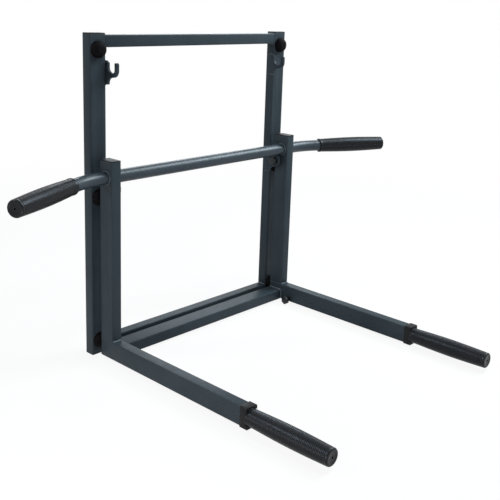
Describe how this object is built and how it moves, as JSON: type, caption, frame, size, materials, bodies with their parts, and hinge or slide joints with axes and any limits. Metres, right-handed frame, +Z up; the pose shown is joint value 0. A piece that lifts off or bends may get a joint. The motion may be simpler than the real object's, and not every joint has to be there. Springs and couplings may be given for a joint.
{
  "type": "dip station",
  "caption": "Wall frame with open hooks that carries a lift-off L-shaped unit with two dip arms and a bar with forward-bent ends, all with ribbed grips.",
  "frame": {"origin": "middle of the bottom rail of the wall frame, on its back face, which lies on the wall", "axes": "+X across the station (picture left is -X), +Y into the wall, +Z up; the dip arms point to -Y"},
  "size_m": [1.1318, 0.6658, 0.696],
  "materials": {
    "painted_steel": "satin slate-grey powder coat",
    "painted_bar": "satin slate-grey coat, a little smoother than the tubes",
    "pin_steel": "dark coated bolt steel",
    "black_plastic": "moulded black plastic",
    "black_rubber": "ribbed black rubber"
  },
  "bodies": {
    "wall_frame": {"wall_upright_left": "painted_steel", "wall_plug_top_left": "black_plastic", "wall_plug_low_left": "black_plastic", "bumper_top_left": "black_rubber", "bumper_mid_left": "black_rubber", "bumper_low_left": "black_rubber", "hook_top_left": "painted_steel", "hook_mid_left": "painted_steel", "wall_upright_right": "painted_steel", "wall_plug_top_right": "black_plastic", "wall_plug_low_right": "black_plastic", "bumper_top_right": "black_rubber", "bumper_mid_right": "black_rubber", "bumper_low_right": "black_rubber", "hook_top_right": "painted_steel", "hook_mid_right": "painted_steel", "bottom_rail": "painted_steel", "top_rail": "painted_steel"},
    "hanger": {"hanger_pin_left": "pin_steel", "hanger_pin_right": "pin_steel"},
    "hanging_unit": {"front_upright_left": "painted_steel", "upright_plug_left": "black_plastic", "dip_arm_left": "painted_steel", "arm_plug_left": "black_plastic", "arm_end_plate_left": "painted_steel", "arm_sleeve_left": "black_plastic", "dip_stub_left": "painted_steel", "dip_grip_left": "black_rubber", "corner_pin_left": "pin_steel", "bar_grip_left": "black_rubber", "front_upright_right": "painted_steel", "upright_plug_right": "black_plastic", "dip_arm_right": "painted_steel", "arm_plug_right": "black_plastic", "arm_end_plate_right": "painted_steel", "arm_sleeve_right": "black_plastic", "dip_stub_right": "painted_steel", "dip_grip_right": "black_rubber", "corner_pin_right": "pin_steel", "bar_grip_right": "black_rubber", "lower_cross_rail": "painted_steel", "pull_up_bar": "painted_bar"}
  },
  "joints": [
    {"name": "unit_lift", "type": "slide", "parent": "wall_frame", "child": "hanger", "axis": [0, 0, 1], "range_m": [0, 0.026]},
    {"name": "unit_swing", "type": "hinge", "parent": "hanger", "child": "hanging_unit", "pos_m": [0, -0.0468, 0.355], "axis": [-1, 0, 0], "range_deg": [0, 10]}
  ]
}
